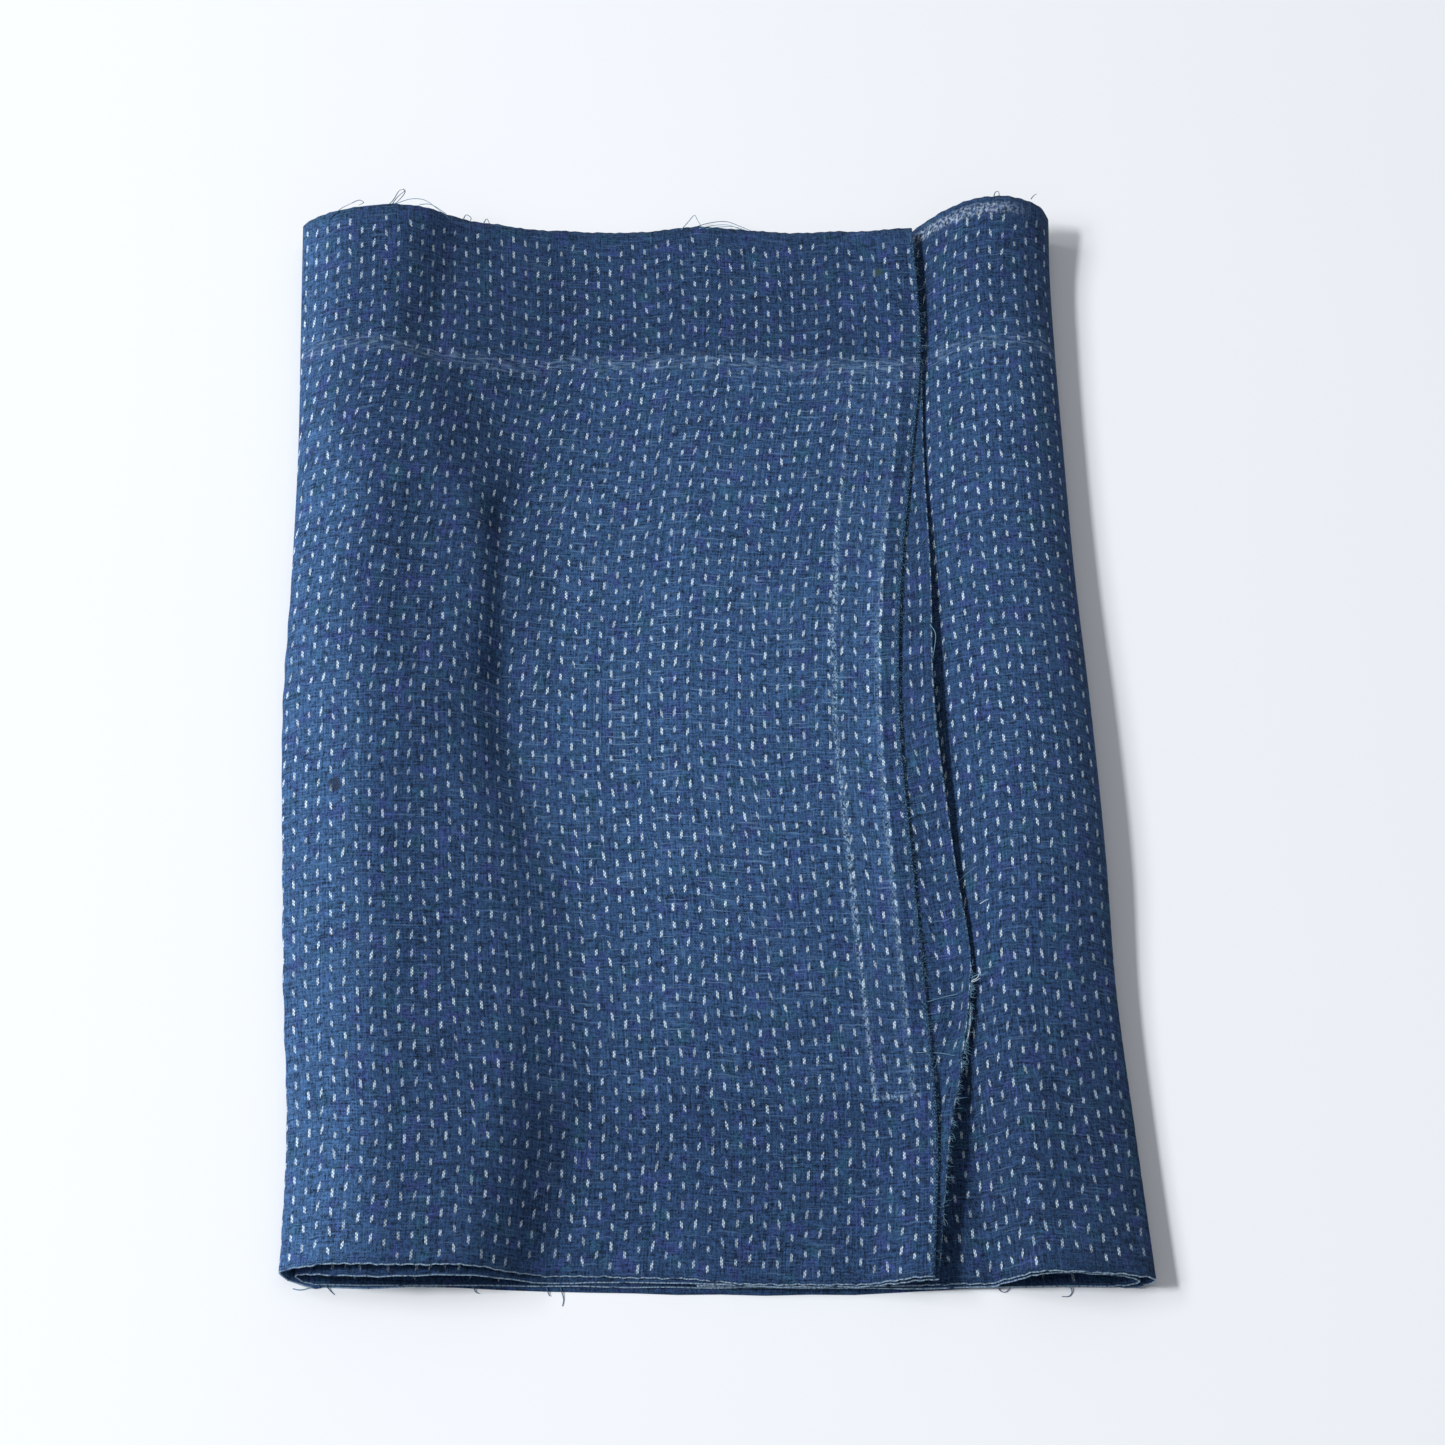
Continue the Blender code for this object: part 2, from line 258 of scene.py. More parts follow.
# Loose threads: what each lies on and its places, x and y and the height above what it lies on.
Thread = namedtuple("Thread", "on tone places")
THREADS = [
    Thread("left", "indigo", [(-91.8, 164, 0), (-89.8, 166, 0.6), (-88.2, 168.8, 1.2), (-86.8, 169.8, 1)]),
    Thread("left", "indigo", [(-86.8, 169.8, 1), (-86.4, 168.6, 0.8), (-88.2, 166, 0.4), (-90.3, 164, 0)]),
    Thread("left", "indigo", [(-90.6, 164, 0), (-88.6, 166.9, 0.8), (-86.2, 169.2, 1.2)]),
    Thread("left", "indigo", [(-108.4, 162.6, -3), (-105.2, 164.6, -1.5), (-102.2, 165.8, -0.6)]),
    Thread(
        "left",
        "indigo",
        [(-102.2, 165.8, -0.6), (-100, 166.6, -0.2), (-98.6, 165.6, 0), (-100, 164.6, 0)],
    ),
    Thread(
        "left",
        "pale",
        [(-89, 165, 0.2), (-84.7, 166.5, 0.6), (-80.6, 166.9, 0.6), (-77, 165.4, 0.4), (-73, 163.4, 0)],
    ),
    Thread("left", "pale", [(-82, 165.2, 0.2), (-78.6, 166, 0.5), (-74.4, 164.8, 0.3)]),
    Thread("left", "indigo", [(-69.6, 164.6, 0), (-68.7, 166.6, 0.6), (-67.2, 166, 0.6), (-67.8, 164.4, 0)]),
    Thread("left", "indigo", [(-63.6, 165, 0), (-62.6, 166.6, 0.5), (-61.6, 165, 0)]),
    Thread(
        "left",
        "pale",
        [(-4.4, 166.2, 0), (-2.4, 168.6, 0.4), (-0.5, 170.8, 0.8), (0.4, 169.4, 0.5), (1.8, 166.8, 0)],
    ),
    Thread(
        "left",
        "indigo",
        [(-1, 166.8, 0), (4, 168.2, 0.4), (9, 168.6, 0.6), (13, 167.2, 0.3), (17, 165.4, 0)],
    ),
    Thread("left", "pale", [(1, 166.4, 0), (5, 167.4, 0.2), (9.4, 167.6, 0.3), (13, 166.4, 0.1)]),
    Thread("left", "pale", [(3, 166.4, 0), (7, 166.9, 0.2), (11.4, 167, 0.2), (15, 165.8, 0)]),
    Thread("right", "indigo", [(88.4, 166.4, 0), (89, 168, 0.8), (90, 168.2, 0.7), (90.2, 166.4, 0)]),
    Thread("right", "indigo", [(99.6, 166.4, -0.4), (100.6, 167.8, -0.4), (101.4, 168.4, -0.6)]),
    Thread(
        "table",
        "indigo",
        [(-33.9, -164.4, 1), (-33.2, -166.6, 0.4), (-32.9, -168, 0.2), (-33.2, -169.6, 0.2)],
    ),
    Thread("table", "indigo", [(-37.4, -164.6, 1), (-36.8, -166.4, 0.4), (-36.4, -166.9, 0.3)]),
    Thread("table", "indigo", [(-56.4, -164.2, 0.8), (-55.6, -165.8, 0.3), (-54.6, -166.2, 0.3)]),
    Thread(
        "table",
        "pale",
        [(-102.8, -164.9, 0.2), (-101.2, -165.2, 0.2), (-99.6, -165, 0.2), (-97.6, -164.4, 0.3)],
    ),
    Thread("table", "indigo", [(-94.6, -163.8, 1), (-93.2, -165.4, 0.4), (-92, -166.5, 0.2)]),
    Thread(
        "table",
        "indigo",
        [(78.8, -163.6, 0.6), (79.6, -165.4, 0.2), (81.2, -165.7, 0.2), (82.6, -164, 0.6)],
    ),
    Thread(
        "table",
        "indigo",
        [(97.2, -163.8, 1.2), (98.1, -165.6, 0.4), (97.3, -166.9, 0.2), (95.4, -167, 0.2)],
    ),
    Thread("second", "indigo", [(66.6, 56.4, 0.1), (65.6, 55.2, 0.2), (63.6, 52.3, 0.2), (60.2, 49.4, 0.2)]),
    Thread("second", "pale", [(66.2, 26, 0.1), (67.6, 22.7, -0.2), (67.2, 18, -0.3), (66.2, 13.4, 0)]),
    Thread(
        "right",
        "pale",
        [(70.4, -53.6, 0.6), (72.4, -51.9, 0.3), (74.4, -50.5, 0.15), (76.8, -49.3, 0.15)],
    ),
    Thread("right", "white", [(77.3, -60.4, 0.1), (78.4, -60, 0.15), (79.6, -59.7, 0.1)]),
    Thread("left", "pale", [(55, -101, 0.1), (58, -101.2, 0.2), (61, -101.6, 0.3), (62.6, -101.3, 0.2)]),
    Thread("second", "pale", [(62, -101.4, 0.8), (66.1, -101.7, 0.2), (69.7, -102.6, 0.2)]),
    Thread(
        "second",
        "pale",
        [(62.4, -86.6, 0.4), (65.3, -85.7, 0.15), (67.6, -85.1, 0.15), (70.9, -84.9, 0.15)],
    ),
    Thread(
        "second",
        "white",
        [(72.4, -85.6, 0.3), (73.5, -87.6, 0.5), (73.9, -90.2, 0.6), (73.8, -92.8, 0.6)],
    ),
    Thread(
        "second",
        "white",
        [(73.8, -92.8, 0.6), (73.5, -95.4, 0.7), (73, -98, 0.7), (72, -100, 0.5), (70.4, -101, 0.2)],
    ),
    Thread("second", "white", [(73.8, -83, 0.4), (74.6, -82.6, 0.5), (75.8, -82.3, 0.5), (76.4, -81.2, 0.3)]),
    Thread("second", "white", [(73.6, -82.5, 0.4), (74.9, -83, 0.5), (76.6, -82.6, 0.4)]),
    Thread("second", "pale", [(74, -82, 0.4), (75.6, -81.4, 0.4), (77.2, -81.9, 0.3), (78.4, -81.3, 0.2)]),
    Thread(
        "second",
        "pale",
        [(71.6, -90.5, 0.3), (72.4, -89.6, 0.5), (73.2, -90.5, 0.5), (72.5, -91.4, 0.4), (71.8, -90.7, 0.3)],
    ),
]
THREAD_RADIUS = {"indigo": 0.16, "pale": 0.15, "white": 0.19}


def level(ply):
    """height of a flat ply's middle above the table"""
    return SHEET / 2 + ply * PITCH


def ease(t):
    """soft step from 0 to 1"""
    return (1 - np.cos(np.pi * np.clip(t, 0, 1))) / 2


def bell(t):
    """soft bump, 1 high at 0 and nearly gone at 3"""
    return np.exp(-0.5 * t**2)


def between(start, end, s):
    """the place at the share s of the way from start to end"""
    return start + (end - start) * s


def smooth(places, values, at):
    """values drawn smoothly through the places of a table"""
    places, values = np.array(places, float), np.array(values, float)
    at = np.clip(at, places[0], places[-1])
    i = np.clip(np.searchsorted(places, at, side="right") - 1, 0, len(places) - 2)
    slopes = np.gradient(values, places)
    span = places[i + 1] - places[i]
    t = (at - places[i]) / span
    start = (2 * t**3 - 3 * t**2 + 1) * values[i] + (t**3 - 2 * t**2 + t) * span * slopes[i]
    end = (3 * t**2 - 2 * t**3) * values[i + 1] + (t**3 - t**2) * span * slopes[i + 1]
    return start + end


def section_at(y):
    """the sizes of the sections at the places y"""
    columns = list(zip(*SECTIONS))
    return Section(*[smooth(columns[0], column, y) for column in columns])


def left_rise(row, x):
    """height of the left panel's soft hump over its flat part"""
    slope = ease((row.left_foot - x) / (row.left_foot - row.left_crest))
    step = ease((row.left_step - x) / row.step_run + 0.5)
    flat = level(LEFT_OUTER - SUNK_PLIES)
    return (row.left_height - flat) * ((1 - row.step_share) * slope + row.step_share * step)


def right_rise(row, x):
    """height of the right panel's hump, on which the ends of the left panel ride"""
    along = np.clip((x - row.right_foot) / (row.right_crest - row.right_foot), 0, 1)
    return (row.right_height - level(RIGHT_OUTER)) * ease(along**RISE_LEAN)


def left_height(row, x, ply):
    """height of a ply of the left panel"""
    share, lift = (1.0, UPPER_LIFT) if ply == LEFT_OUTER else (row.inner_share, 1.0)
    sunk = SUNK_PLIES * PITCH * ease((TURN_X - x) / SETTLE_RUN)
    lifted = lift * row.end_lift * ease((x - row.second_end) / LIFT_RUN + 1)
    return level(ply) - sunk + share * left_rise(row, x) + right_rise(row, x) + lifted


def right_height(row, x, ply):
    """height of a ply of the right panel"""
    share = 1.0 if ply == RIGHT_OUTER else RIGHT_INNER_SHARE
    return level(ply) + share * right_rise(row, x)


def fold_points(row, s, side, loop, upper):
    """the upper or lower quarter of a fold's open loop, from the crest or the tip on"""
    outer = loop is OUTER_LOOP
    under_z = level(UNDER_OUTER if outer else UNDER_INNER)
    if side == "left":
        crest_x, tip_x = row.left_crest, row.left_fold + loop.inset
        crest_z = left_height(row, crest_x, LEFT_OUTER if outer else LEFT_INNER)
    else:
        crest_x, tip_x = row.right_crest, row.right_fold - loop.inset
        crest_z = right_height(row, crest_x, RIGHT_OUTER if outer else RIGHT_INNER)
    tip_z = under_z + loop.tip_share * (crest_z - under_z)
    angle = s * np.pi / 2
    if upper:
        x = crest_x + (tip_x - crest_x) * np.sin(angle)
        return x, tip_z + (crest_z - tip_z) * np.maximum(np.cos(angle), 0) ** loop.fullness
    landing = loop.landing * (tip_z - under_z) * np.sign(crest_x - tip_x)
    return tip_x + landing * (1 - np.cos(angle)), tip_z - (tip_z - under_z) * np.sin(angle)


def landing_x(row, side, loop):
    """where a fold's loop comes down on the ply under it"""
    return fold_points(row, np.ones_like(row.y), side, loop, upper=False)[0]


def loop_stretch(side, loop, upper, rising=False):
    """a quarter of a fold's loop as a stretch; a rising one runs from its lower place up"""

    def shape(row, s):
        return fold_points(row, 1 - s if rising else s, side, loop, upper)

    return shape


left_outer_top = loop_stretch("left", OUTER_LOOP, upper=True)
left_outer_foot = loop_stretch("left", OUTER_LOOP, upper=False)
right_outer_foot = loop_stretch("right", OUTER_LOOP, upper=False, rising=True)
right_outer_top = loop_stretch("right", OUTER_LOOP, upper=True, rising=True)
right_inner_top = loop_stretch("right", RIGHT_INNER_LOOP, upper=True)
right_inner_foot = loop_stretch("right", RIGHT_INNER_LOOP, upper=False)
left_inner_foot = loop_stretch("left", LEFT_INNER_LOOP, upper=False, rising=True)
left_inner_top = loop_stretch("left", LEFT_INNER_LOOP, upper=True, rising=True)


def left_outer_panel(row, s):
    x = between(row.upper_end, row.left_crest, s)
    return x, left_height(row, x, LEFT_OUTER)


def under_outer(row, s):
    x = between(landing_x(row, "left", OUTER_LOOP), landing_x(row, "right", OUTER_LOOP), s)
    return x, level(UNDER_OUTER) + 0 * x


def right_outer_shown(row, s):
    x = between(row.right_crest, row.upper_end - UNDER_END_RUN, s)
    return x, right_height(row, x, RIGHT_OUTER)


def right_outer_hidden(row, s):
    x = between(row.upper_end - UNDER_END_RUN, TURN_X, s)
    return x, right_height(row, x, RIGHT_OUTER)


def hidden_turn(row, s):
    """the half round in which the cloth doubles back from the right panel's outer ply to its inner"""
    middle, radius = level((RIGHT_INNER + RIGHT_OUTER) / 2), PITCH / 2
    angle = s * np.pi
    return TURN_X - radius * np.sin(angle) + 0 * row.y, middle + radius * np.cos(angle) + 0 * row.y


def right_inner_flat(row, s):
    x = between(TURN_X, row.right_foot, s)
    return x, right_height(row, x, RIGHT_INNER)


def right_inner_slope(row, s):
    x = between(row.right_foot, row.right_crest, s)
    return x, right_height(row, x, RIGHT_INNER)


def under_inner(row, s):
    start = landing_x(row, "right", RIGHT_INNER_LOOP)
    x = between(start, landing_x(row, "left", LEFT_INNER_LOOP), s)
    return x, level(UNDER_INNER) + 0 * x


def left_inner_hidden(row, s):
    x = between(row.left_crest, row.second_end - INNER_SHOWN_RUN, s)
    return x, left_height(row, x, LEFT_INNER)


def left_inner_shown(row, s):
    x = between(row.second_end - INNER_SHOWN_RUN, row.second_end, s)
    return x, left_height(row, x, LEFT_INNER)


# The whole length, from the upper cut end to the second one, stretch by stretch. The steps are
# finer where a ply shows or bends, wider where it lies hidden.
Stretch = namedtuple("Stretch", "shape steps edges")
STRETCHES = [
    Stretch(left_outer_panel, 114, LEFT_OUTER_EDGES),
    Stretch(left_outer_top, 24, LEFT_OUTER_EDGES),
    Stretch(left_outer_foot, 8, UNDER_OUTER_EDGES),
    Stretch(under_outer, 18, UNDER_OUTER_EDGES),
    Stretch(right_outer_foot, 8, UNDER_OUTER_EDGES),
    Stretch(right_outer_top, 24, RIGHT_OUTER_EDGES),
    Stretch(right_outer_shown, 28, RIGHT_OUTER_EDGES),
    Stretch(right_outer_hidden, 10, RIGHT_OUTER_EDGES),
    Stretch(hidden_turn, 6, RIGHT_INNER_EDGES),
    Stretch(right_inner_flat, 10, RIGHT_INNER_EDGES),
    Stretch(right_inner_slope, 12, RIGHT_INNER_EDGES),
    Stretch(right_inner_top, 12, RIGHT_INNER_EDGES),
    Stretch(right_inner_foot, 8, UNDER_INNER_EDGES),
    Stretch(under_inner, 18, UNDER_INNER_EDGES),
    Stretch(left_inner_foot, 8, UNDER_INNER_EDGES),
    Stretch(left_inner_top, 12, LEFT_INNER_EDGES),
    Stretch(left_inner_hidden, 26, LEFT_INNER_EDGES),
    Stretch(left_inner_shown, 18, LEFT_INNER_EDGES),
]


def edge_waver(x):
    """how far the last warp yarns of a selvedge stray at the places x"""
    slower = np.sin(MIDDLE_WAVE * x + 1) * np.sin(SLOW_WAVE * x)
    return EDGE_WAVER * (np.sin(QUICK_WAVE * x) + slower)


def lay(stretch, across, last):
    """one stretch of the cloth as a grid of places; `across` runs from 0 to 1, front to back"""
    s = np.linspace(0, 1, stretch.steps + 1)[: None if last else -1, None] + 0 * across
    xs, fronts, backs = zip(*stretch.edges)
    y = between(fronts[0], backs[0], across) + 0 * s
    for _ in range(LAYING_ROUNDS):
        x, z = stretch.shape(section_at(y), s)
        front = smooth(xs, fronts, x[:, :1]) + edge_waver(x[:, :1])
        back = smooth(xs, backs, x[:, -1:]) + edge_waver(x[:, -1:] + BACK_EDGE_SHIFT)
        y = between(front, back, across)
    return np.stack([x, y, z], axis=-1)


def pressed(places, creases):
    """height of the creases at the places"""
    x, y = places[..., 0], places[..., 1]
    height = np.zeros_like(x)
    for crease in creases:
        along = np.array([crease.to_x - crease.x, crease.to_y - crease.y])
        reach = np.hypot(*along)
        t = ((x - crease.x) * along[0] + (y - crease.y) * along[1]) / reach**2
        nearest = np.clip(t, 0, 1)
        away = np.hypot(x - crease.x - nearest * along[0], y - crease.y - nearest * along[1])
        height += crease.height * bell(away / crease.width)
    return height


def allowance_ridge(from_end):
    """how the allowance bulges at a distance from the upper end"""
    ridge = bell((from_end - ALLOWANCE) / RIDGE_WIDTH) - np.exp(-from_end / RIDGE_START)
    return RIDGE_HEIGHT * np.clip(ridge, 0, 1)


def flap_share(y):
    """how far the second end's edge has turned up at the places y, from 0 to 1"""
    return ease((FLAP_FROM - y) / FLAP_FROM_RUN) * ease((y - FLAP_TO) / FLAP_TO_RUN)


def flap_height(to_end, y):
    """how high the second end's edge stands, and how deep its crease is, near that end"""
    crease = FLAP_CREASE_DEPTH * bell((to_end - FLAP_RUN) / FLAP_CREASE_WIDTH)
    return flap_share(y) * (FLAP_RISE * ease(1 - to_end / FLAP_RUN) - crease)


def fold_ripples(y, steps):
    """the ripples round the left fold, from its crest to where it lands"""
    turn = np.sin(np.linspace(0, np.pi, steps))[:, None]
    wave = np.sin(2 * np.pi * y / RIPPLE_RUN + STRAY * np.sin(y / STRAY_RUN))
    swell = 1 - SWELL + SWELL * np.sin(y / SWELL_RUN)
    return RIPPLE_HEIGHT * turn * wave * swell * ease((RIPPLES_END - y) / RIPPLES_END)


def lengths_along(places):
    """how far each place lies from the upper end, step by step along the cloth"""
    lengths = np.zeros(places.shape[:2])
    lengths[1:] = np.cumsum(np.linalg.norm(np.diff(places, axis=0), axis=-1), axis=0)
    return lengths


def section_normals(places):
    """the direction out of the cloth's face in each section"""
    along = np.gradient(places, axis=0)
    run = np.hypot(along[..., 0], along[..., 2])
    return np.stack([along[..., 2] / run, 0 * run, -along[..., 0] / run], axis=-1)


def cloth_places():
    """the sheet's middle surface as a grid, the lengths along it, and where each stretch starts"""
    across = np.linspace(0, 1, CROSS_STEPS + 1)[None, :]
    grids = [lay(stretch, across, stretch is STRETCHES[-1]) for stretch in STRETCHES]
    starts = dict(zip([s.shape for s in STRETCHES], np.cumsum([0] + [len(g) for g in grids])))
    places = np.concatenate(grids)
    normals = section_normals(places)

    face = np.zeros(places.shape[:2])
    left = slice(0, starts[left_outer_foot])
    face[left] += pressed(places[left], LEFT_CREASES)
    inner = slice(starts[left_inner_top], None)
    face[inner] -= pressed(places[inner], LEFT_CREASES)

    from_end = lengths_along(places)
    face[left] += allowance_ridge(from_end[left])
    to_end = from_end[-1] - from_end
    face[inner] -= flap_height(to_end[inner], places[inner, :, 1])

    bend = slice(starts[left_outer_top], starts[under_outer])
    face[bend] += fold_ripples(places[bend, :, 1], bend.stop - bend.start)

    places += normals * face[..., None]
    return places, lengths_along(places[..., [0, 2]]), starts


def evened(lengths, at, first, last):
    """lengths made the same right across the cloth at one row, the spare taken up between two others"""
    rows = np.arange(len(lengths))[:, None]
    share = np.clip((rows - first) / (last - first), 0, 1)
    return lengths + share * (lengths[at].mean() - lengths[at])


def yarn_lengths(lengths, starts):
    """mm along the warp, true where the cloth shows, with the spare taken up under the panels"""
    right_tip = starts[right_outer_top]
    lengths = evened(lengths, right_tip, starts[under_outer], starts[right_outer_foot])
    return evened(lengths, -1, starts[under_inner], starts[left_inner_foot])


def surface_height(on, x, y):
    """height of what a loose yarn lies on: the left panel, the second end, the right one or the table"""
    row = section_at(y)
    if on == "left":
        return left_height(row, x, LEFT_OUTER) + SHEET / 2
    if on == "second":
        return left_height(row, x, LEFT_INNER) + SHEET / 2
    if on == "right":
        return right_height(row, x, RIGHT_OUTER) + SHEET / 2
    return 0 * x


def thread_line(thread):
    """the soft line of a loose thread through its charted places"""
    x, y, above = [np.array(column, float) for column in zip(*thread.places)]
    z = surface_height(thread.on, x, y) + above
    knots = np.arange(len(x))
    at = np.linspace(0, len(x) - 1, THREAD_STEPS * (len(x) - 1) + 1)
    return np.stack([smooth(knots, column, at) for column in (x, y, z)], axis=-1)


def fringe_lines(fringe, seed):
    """short yarns standing out of a cut end, each a row of places"""
    chance = np.random.default_rng(seed)
    y = chance.uniform(*fringe.reach, fringe.count)
    row = section_at(y)
    upper = fringe.end == "upper"
    x = (row.upper_end if upper else row.second_end) - FRINGE_ROOT
    z = left_height(row, x, LEFT_OUTER if upper else LEFT_INNER)
    if not upper:
        z = z + FLAP_RISE * flap_share(y)
    length = fringe.length * chance.lognormal(0, LENGTH_SPREAD, fringe.count) + FRINGE_ROOT
    heading = chance.normal(LEAN, fringe.spread, fringe.count)
    bend = chance.normal(0, BEND_SPREAD, fringe.count)
    tilt = chance.normal(TILT, TILT_SPREAD, fringe.count)

    s = np.linspace(0, 1, FRINGE_POINTS)
    x, y, z, length, heading, bend, tilt = [a[:, None] for a in (x, y, z, length, heading, bend, tilt)]
    turn = heading + bend * s
    run = length * s
    rise = run * tilt - DROOP * run * s
    return np.stack([x + run * np.cos(turn), y + run * np.sin(turn), z + rise], axis=-1)


def yarn_mesh(name, lines, radius):
    """thin round yarns along rows of places in mm, thinner towards their tips"""
    corners, faces = [], []
    turns = np.arange(YARN_SIDES) * 2 * np.pi / YARN_SIDES
    for line in lines:
        along = np.gradient(line, axis=0)
        side = np.cross(along, YARN_SQUARE)
        side /= np.linalg.norm(side, axis=1, keepdims=True)
        rise = np.cross(along, side)
        rise /= np.linalg.norm(rise, axis=1, keepdims=True)
        ring = side[:, None] * np.cos(turns)[:, None] + rise[:, None] * np.sin(turns)[:, None]
        taper = np.linspace(1, YARN_TIP, len(line))[:, None, None]
        start = len(corners)
        corners += list((line[:, None] + ring * radius * taper).reshape(-1, 3) * MM)
        index = start + np.arange(len(line) * YARN_SIDES).reshape(len(line), YARN_SIDES)
        after = np.roll(index, -1, axis=1)
        walls = np.stack([index[:-1], after[:-1], after[1:], index[1:]], axis=-1)
        faces += walls.reshape(-1, 4).tolist()
        faces += [index[0][::-1].tolist(), index[-1].tolist()]
    mesh = bpy.data.meshes.new(name)
    mesh.from_pydata([tuple(corner) for corner in corners], [], faces)
    mesh.shade_smooth()
    return mesh


def grid_mesh(name, places, uvs):
    """a mesh of four-sided faces over a grid of places in mm, with its cloth map"""
    along, across = places.shape[:2]
    index = np.arange(along * across).reshape(along, across)
    corners = [index[:-1, :-1], index[1:, :-1], index[1:, 1:], index[:-1, 1:]]
    faces = np.stack(corners, axis=-1).reshape(-1, 4)
    mesh = bpy.data.meshes.new(name)
    mesh.from_pydata((places.reshape(-1, 3) * MM).tolist(), [], faces.tolist())
    layer = mesh.uv_layers.new(name="cloth")
    layer.data.foreach_set("uv", uvs.reshape(-1, 2)[faces.reshape(-1)].ravel())
    mesh.shade_smooth()
    return mesh


def add_piece(name, mesh, material):
    piece = bpy.data.objects.new(name, mesh)
    bpy.context.scene.collection.objects.link(piece)
    mesh.materials.append(material)
    return piece


class Value:
    """A shader socket that takes part in Python arithmetic; each operation adds a Math node."""

    def __init__(self, finish, socket):
        self.finish = finish
        self.socket = socket

    def math(self, operation, *others):
        sockets = dict(enumerate([self, *others]))
        return self.finish.add("ShaderNodeMath", {"operation": operation}, sockets)

    def __add__(self, other):
        return self.math("ADD", other)

    __radd__ = __add__

    def __sub__(self, other):
        return self.math("SUBTRACT", other)

    def __rsub__(self, other):
        return (self * -1.0) + other

    def __mul__(self, other):
        return self.math("MULTIPLY", other)

    __rmul__ = __mul__

    def __truediv__(self, other):
        return self.math("DIVIDE", other)

    def __pow__(self, other):
        return self.math("POWER", other)

    def __abs__(self):
        return self.math("ABSOLUTE")

    def __gt__(self, other):
        return self.math("GREATER_THAN", other)

    def floor(self):
        return self.math("FLOOR")

    def part(self):
        """what is left above the whole number"""
        return self.math("FRACT")

    def wave(self):
        return self.math("SINE")

    def highest(self, other):
        return self.math("MAXIMUM", other)

    def step(self, low, high):
        """soft step from 0 at low to 1 at high"""
        settings = {"interpolation_type": "SMOOTHSTEP"}
        sockets = {"Value": self, "From Min": low, "From Max": high}
        return self.finish.add("ShaderNodeMapRange", settings, sockets)

    def near(self, centre, reach, soft):
        """1 within reach of the centre, falling softly to 0 beyond it"""
        return abs(self - centre).step(reach + soft, reach)

    def between(self, low, high):
        """low where this is 0, high where it is 1"""
        return self * (high - low) + low


class Finish:
    """One procedural material and the nodes that make it."""

    def __init__(self, name):
        self.material = bpy.data.materials.new(name)
        self.material.use_nodes = True
        self.tree = self.material.node_tree
        self.tree.nodes.clear()

    def add(self, kind, settings=None, sockets=None, out=0):
        """adds a node; its settings are set first, then its sockets' values or links"""
        node = self.tree.nodes.new(kind)
        for name, value in (settings or {}).items():
            setattr(node, name, value)
        for key, value in (sockets or {}).items():
            if isinstance(value, Value):
                self.tree.links.new(value.socket, node.inputs[key])
            else:
                node.inputs[key].default_value = value
        if isinstance(out, tuple):
            return [Value(self, node.outputs[name]) for name in out]
        return Value(self, node.outputs[out])

    def point(self, x, y, z=0.0):
        return self.add("ShaderNodeCombineXYZ", {}, {0: x, 1: y, 2: z})

    def split(self, place):
        """the first two numbers of a place"""
        return self.add("ShaderNodeSeparateXYZ", {}, {0: place}, ("X", "Y"))

    def noise(self, x, y, detail=2.0, roughness=0.5):
        """soft noise, about 0.5 on average, over places given in its own cells"""
        sockets = {"Vector": self.point(x, y), "Scale": 1.0, "Detail": detail, "Roughness": roughness}
        return self.add("ShaderNodeTexNoise", {"noise_dimensions": "2D"}, sockets)

    def drift(self, x, y, reach, detail=2.0):
        """a slow shift to either side, half the reach at most, over places in the noise's cells"""
        return (self.noise(x, y, detail) - 0.5) * reach

    def chance(self, x, y=0.0):
        """three random numbers, the same for each whole x and y"""
        sockets = {"Vector": self.point(x, y)}
        colour = self.add("ShaderNodeTexWhiteNoise", {"noise_dimensions": "2D"}, sockets, "Color")
        return self.add("ShaderNodeSeparateColor", {}, {0: colour}, ("Red", "Green", "Blue"))

    def mix(self, share, first, second, blend="MIX"):
        """one colour turned into another"""
        settings = {"data_type": "RGBA", "blend_type": blend}
        sockets = {"Factor": share, 6: first, 7: second}
        return self.add("ShaderNodeMix", settings, sockets, 2)

    def tint(self, colour, mask, tone):
        """a colour with a tone laid over it where the mask says"""
        return self.mix(mask * tone.strength, colour, tone.colour)

    def bump(self, height, depth):
        """the height pressed into the surface, `depth` metres for each 1 of it"""
        sockets = {"Height": height, "Strength": 1.0, "Distance": depth}
        return self.add("ShaderNodeBump", {}, sockets)

    def surface(self, sockets):
        """ends the material with its surface shader"""
        shader = self.add("ShaderNodeBsdfPrincipled", {}, sockets)
        output = self.tree.nodes.new("ShaderNodeOutputMaterial")
        self.tree.links.new(shader.socket, output.inputs["Surface"])
        return self.material


# The cloth's finish is drawn on its own map, in mm: u along the warp from the upper cut end, v
# across it from the front selvedge.

# The weave: its two pitches; how strongly the yarns of each direction and single crossings differ
# in lightness, how strongly all that shows and the darkest it gets; how deep the relief is, in mm,
# and how far the lighter yarns stand out of it.
WEFT_PITCH = 0.36
WARP_PITCH = 0.5
WARP_STREAKS = 1.35
WEFT_STREAKS = 1.15
CROSSING_SPECKS = 0.72
LIGHT_STRENGTH = 1.05
DARKEST = 0.22
WEAVE_DEPTH = 0.04
STREAK_RELIEF = 1.5

